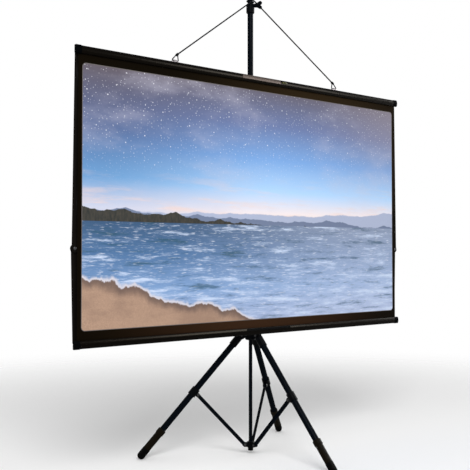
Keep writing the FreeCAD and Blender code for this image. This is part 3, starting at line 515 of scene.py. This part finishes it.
# Hangers and saddles: bent steel wire in the mast's black coat, that swings in folded clips of dull
# zinc-plated strip fixed on the bar.
dull_zinc = hard_finish("dull zinc", (0.11, 0.10, 0.105), 0.38, (0.07, 0.07, 0.065), metallic=0.9,
                        size=1800.0, depth=0.00002, scuffs=0.7, scuff_stretch=(1.0, 1.0, 1.0), dust=0.08,
                        specular=0.5)
finish_nodes(dull_zinc, "hanger_saddles")
finish_nodes(satin_black, "hanger_rings")

# Hanging cord: a round braided polyester cord, tied to each hanger, led up to the mast and taken once
# round the top tube over the clamp. Its points are those of the solid, in millimetres from the mast's
# middle and the floor.
CORD_DIAMETER = 0.0044
MILLIMETRE = 0.001
cord_points = [
    (-333.99, -51.6, 1263.1), (-26.05, -13.65, 1479.59), (-4.56, -11.0, 1494.7), (4.56, -11.0, 1494.7),
    (11.0, -4.56, 1495.63), (11.0, 4.56, 1496.56), (4.56, 11.0, 1497.49), (-4.56, 11.0, 1498.41),
    (-11.0, 4.56, 1499.34), (-11.0, -4.56, 1500.27), (-4.56, -11.0, 1501.2), (4.56, -11.0, 1501.2),
    (25.85, -13.62, 1485.82), (334.03, -51.6, 1263.17)]
route = [Vector((x * MILLIMETRE, y * MILLIMETRE + mast.y, z * MILLIMETRE)) for x, y, z in cord_points]


def braided_finish(name, colour, pale):
    """Crossing strands of a braid, drawn by two diagonal waves, with a little lint on them."""
    material = bpy.data.materials.new(name)
    material.use_nodes = True
    tree = material.node_tree
    shader = tree.nodes["Principled BSDF"]
    place = add_node(tree, "ShaderNodeTexCoord").outputs["Object"]
    strands = [add_node(tree, "ShaderNodeTexWave",
                        {"Vector": stretched_place(tree, place, way), "Scale": 260.0, "Distortion": 1.5,
                         "Detail": 1.0}, bands_direction="DIAGONAL").outputs["Fac"]
               for way in ((1, 1, 1), (-1, 1, 1))]
    crossing = math_node(tree, "MAXIMUM", *strands)
    lint = noise_on(tree, place, 1400.0, detail=3.0)
    base = blend_colour(tree, math_node(tree, "MULTIPLY", crossing, lint), colour, pale)
    bump = add_node(tree, "ShaderNodeBump", {"Height": crossing, "Distance": 0.0004, "Strength": 0.8})
    tree.links.new(base, shader.inputs["Base Color"])
    tree.links.new(bump.outputs[0], shader.inputs["Normal"])
    shader.inputs["Roughness"].default_value = 0.75
    shader.inputs["Specular IOR Level"].default_value = 0.02
    return material


black_braid = braided_finish("black braid", (0.0012, 0.0014, 0.0020), (0.009, 0.010, 0.012))


def cord_line(name, points, radius):
    """A round cord along a smooth line that has these points as its control points."""
    curve = bpy.data.curves.new(name, "CURVE")
    curve.dimensions = "3D"
    curve.bevel_depth = radius
    curve.bevel_resolution = 4
    curve.use_fill_caps = True
    spline = curve.splines.new("NURBS")
    spline.points.add(len(points) - 1)
    for control, point in zip(spline.points, points):
        control.co = (*point, 1.0)
    spline.order_u = 3
    spline.use_endpoint_u = True
    spline.resolution_u = 12
    made = bpy.data.objects.new(name, curve)
    bpy.context.scene.collection.objects.link(made)
    return made


hanging_cord = cord_line("braided_cord", route, CORD_DIAMETER / 2)
hanging_cord.data.materials.append(black_braid)
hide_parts("hanging_cord")
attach(hanging_cord, "mid_mast")

# Cord knots: each end of the cord goes through its hanger, is laid back along itself and bound there
# with four turns of thinner cord.
KNOT_TURNS, KNOT_STEPS = 4, 14
KNOT_LENGTH, BINDING_RADIUS, STRAND_RADIUS = 0.012, 0.0030, 0.00135


def knot_pieces(start, towards):
    """The binding's line and the cord inside it, from the hanger upwards."""
    line = (towards - start).normalized()
    aside = line.cross(Vector((0.0, 1.0, 0.0))).normalized()
    other = line.cross(aside)
    first = start - line * (KNOT_LENGTH - STRAND_RADIUS)
    run = KNOT_LENGTH - 2 * STRAND_RADIUS
    turns = []
    for step in range(KNOT_TURNS * KNOT_STEPS + 1):
        angle = 2 * math.pi * step / KNOT_STEPS
        around = aside * math.cos(angle) + other * math.sin(angle)
        turns.append(first + line * (run * step / (KNOT_TURNS * KNOT_STEPS)) + around * BINDING_RADIUS)
    inside = [start - line * (KNOT_LENGTH * place) for place in (0.97, 0.5, 0.0)]
    return ((turns, STRAND_RADIUS), (inside, CORD_DIAMETER / 2))


def bound_knots():
    """Both knots as one mesh."""
    mesh = bmesh.new()
    for start, towards in ((route[0], route[1]), (route[-1], route[-2])):
        for points, radius in knot_pieces(start, towards):
            line = cord_line("knot_line", points, radius)
            drawn = line.evaluated_get(bpy.context.evaluated_depsgraph_get())
            mesh.from_mesh(bpy.data.meshes.new_from_object(drawn))
            bpy.data.objects.remove(line)
    return object_from(mesh, "bound_knots")


knots = bound_knots()
knots.data.materials.append(black_braid)
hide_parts("cord_knots")
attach(knots, "mid_mast")

# Plate on the top bar: a thin bare strip of satin metal that has dulled, fixed along the middle of the
# bar's front.
satin_plate = hard_finish("satin plate", (0.044, 0.032, 0.026), 0.42, (0.06, 0.048, 0.042), metallic=0.4,
                          size=1000.0, stretch=(0.03, 1.0, 1.0), depth=0.00002, scuffs=0.5,
                          scuff_stretch=(0.1, 1.0, 1.0), dust=0.05)
finish_nodes(satin_plate, "top_plate")

# Level vial: a short tube of yellow-green spirit set into the bar's front beside the plate, with two thin
# black lines printed round it.
vial_green = hard_finish("vial spirit", (0.062, 0.062, 0.008), 0.12, (0.09, 0.09, 0.03), size=200.0,
                         depth=0.00001, spread=0.04, scuffs=0.2, dust=0.0, coat=0.03)
finish_nodes(vial_green, "level_vial")
vial_low, vial_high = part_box("level_vial")
VIAL_LINE_WIDTH, VIAL_LINE_DEPTH, VIAL_LINE_LIFT = 0.0005, 0.00008, 0.00006
VIAL_LINES = {"vial_line_left": -0.0036, "vial_line_right": 0.0031}


def vial_line(name, across):
    """A thin printed ring round the front half of the vial."""
    radius = (vial_high.z - vial_low.z) / 2
    mesh = bmesh.new()
    bmesh.ops.create_circle(mesh, cap_ends=False, radius=radius + VIAL_LINE_LIFT, segments=32)
    bmesh.ops.rotate(mesh, matrix=Matrix.Rotation(math.radians(90), 3, "Y"), verts=mesh.verts)
    made = bmesh.ops.extrude_edge_only(mesh, edges=mesh.edges[:])
    far = [v for v in made["geom"] if isinstance(v, bmesh.types.BMVert)]
    bmesh.ops.translate(mesh, vec=(VIAL_LINE_WIDTH, 0.0, 0.0), verts=far)
    whole = mesh.verts[:] + mesh.edges[:] + mesh.faces[:]
    bmesh.ops.bisect_plane(mesh, geom=whole, plane_co=(0, 0, 0), plane_no=(0, 1, 0), clear_outer=True)
    bmesh.ops.solidify(mesh, geom=mesh.faces[:], thickness=VIAL_LINE_DEPTH)
    place = Vector((across, vial_low.y + radius, (vial_low.z + vial_high.z) / 2))
    bmesh.ops.translate(mesh, vec=place, verts=mesh.verts)
    bmesh.ops.recalc_face_normals(mesh, faces=mesh.faces)
    ring = object_from(mesh, name)
    ring.data.materials.append(matt_rubber)
    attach(ring, "screen")


for name, off_middle in VIAL_LINES.items():
    vial_line(name, (vial_low.x + vial_high.x) / 2 + off_middle)

# The studio: a pale floor that keeps the shadow and melts into a white surround, a large soft key lamp, an
# even sky, and two lamps at the right that only show as streaks on the bars and along the tubes.
FLOOR_SHARP, FLOOR_GONE = 1.3, 3.2


def floor_finish():
    material = bpy.data.materials.new("studio floor")
    material.use_nodes = True
    tree = material.node_tree
    shader = tree.nodes["Principled BSDF"]
    shader.inputs["Base Color"].default_value = (0.93, 0.93, 0.93, 1.0)
    shader.inputs["Roughness"].default_value = 0.9
    shader.inputs["Specular IOR Level"].default_value = 0.1
    place = add_node(tree, "ShaderNodeTexCoord").outputs["Object"]
    away = add_node(tree, "ShaderNodeVectorMath", {0: place}, operation="LENGTH").outputs["Value"]
    clear = add_node(tree, "ShaderNodeBsdfTransparent").outputs[0]
    mix = add_node(tree, "ShaderNodeMixShader", {0: ramp_between(tree, away, FLOOR_SHARP, FLOOR_GONE),
                                                 1: shader.outputs[0], 2: clear})
    tree.links.new(mix.outputs[0], tree.nodes["Material Output"].inputs["Surface"])
    return material


def studio_floor():
    mesh = bmesh.new()
    bmesh.ops.create_circle(mesh, cap_ends=True, radius=FLOOR_GONE, segments=96)
    floor = object_from(mesh, "studio_floor")
    floor.data.materials.append(floor_finish())


def soft_lamp(name, place, aim, size, power, lights_matt=True):
    light = bpy.data.lights.new(name, "AREA")
    light.size = size
    light.energy = power
    lamp = bpy.data.objects.new(name, light)
    lamp.visible_diffuse = lights_matt
    lamp.location = place
    lamp.rotation_euler = (Vector(aim) - Vector(place)).to_track_quat("-Z", "Y").to_euler()
    bpy.context.scene.collection.objects.link(lamp)


def white_surround(level):
    world = bpy.data.worlds.new("studio")
    bpy.context.scene.world = world
    world.use_nodes = True
    tree = world.node_tree
    seen = add_node(tree, "ShaderNodeLightPath").outputs
    direct = math_node(tree, "MAXIMUM", seen["Is Camera Ray"], seen["Is Glossy Ray"])
    direct = math_node(tree, "MAXIMUM", direct, seen["Is Transmission Ray"])
    strength = add_node(tree, "ShaderNodeMapRange", {"Value": direct, "To Min": level, "To Max": 1.0})
    back = tree.nodes["Background"]
    back.inputs["Color"].default_value = (1.0, 1.0, 1.0, 1.0)
    tree.links.new(strength.outputs[0], back.inputs["Strength"])


studio_floor()
soft_lamp("key_lamp", (-2.2, -3.0, 3.4), (0.0, 0.0, 0.7), 2.2, 145.0)
soft_lamp("bar_lamp", (2.6, -3.0, 1.95), (0.0, 0.0, 1.1), 1.3, 110.0, lights_matt=False)
soft_lamp("rim_lamp", (3.6, -0.6, 1.5), (0.0, 0.0, 0.9), 2.4, 230.0, lights_matt=False)
white_surround(0.62)

# The camera stands in front of the screen and to its left, below the middle of the picture, and looks
# slightly up.
IMAGE_SIZE = 470
FOCAL_PIXELS = 848.5
CAMERA_PLACE = Vector((-1.8431, -2.1221, 0.6632))
YAW, PITCH = math.radians(39.931), math.radians(1.748)
VIEW_DROP = 9.23
lens = bpy.data.cameras.new("photo_camera")
lens.sensor_width = 36.0
lens.lens = lens.sensor_width * FOCAL_PIXELS / IMAGE_SIZE
lens.shift_y = -VIEW_DROP / IMAGE_SIZE
camera = bpy.data.objects.new("photo_camera", lens)
camera.location = CAMERA_PLACE + Vector((0.0, mast.y, 0.0))
camera.rotation_euler = (math.radians(90) + PITCH, 0.0, -YAW)
bpy.context.scene.collection.objects.link(camera)
bpy.context.scene.camera = camera
bpy.context.scene.view_settings.view_transform = "Standard"
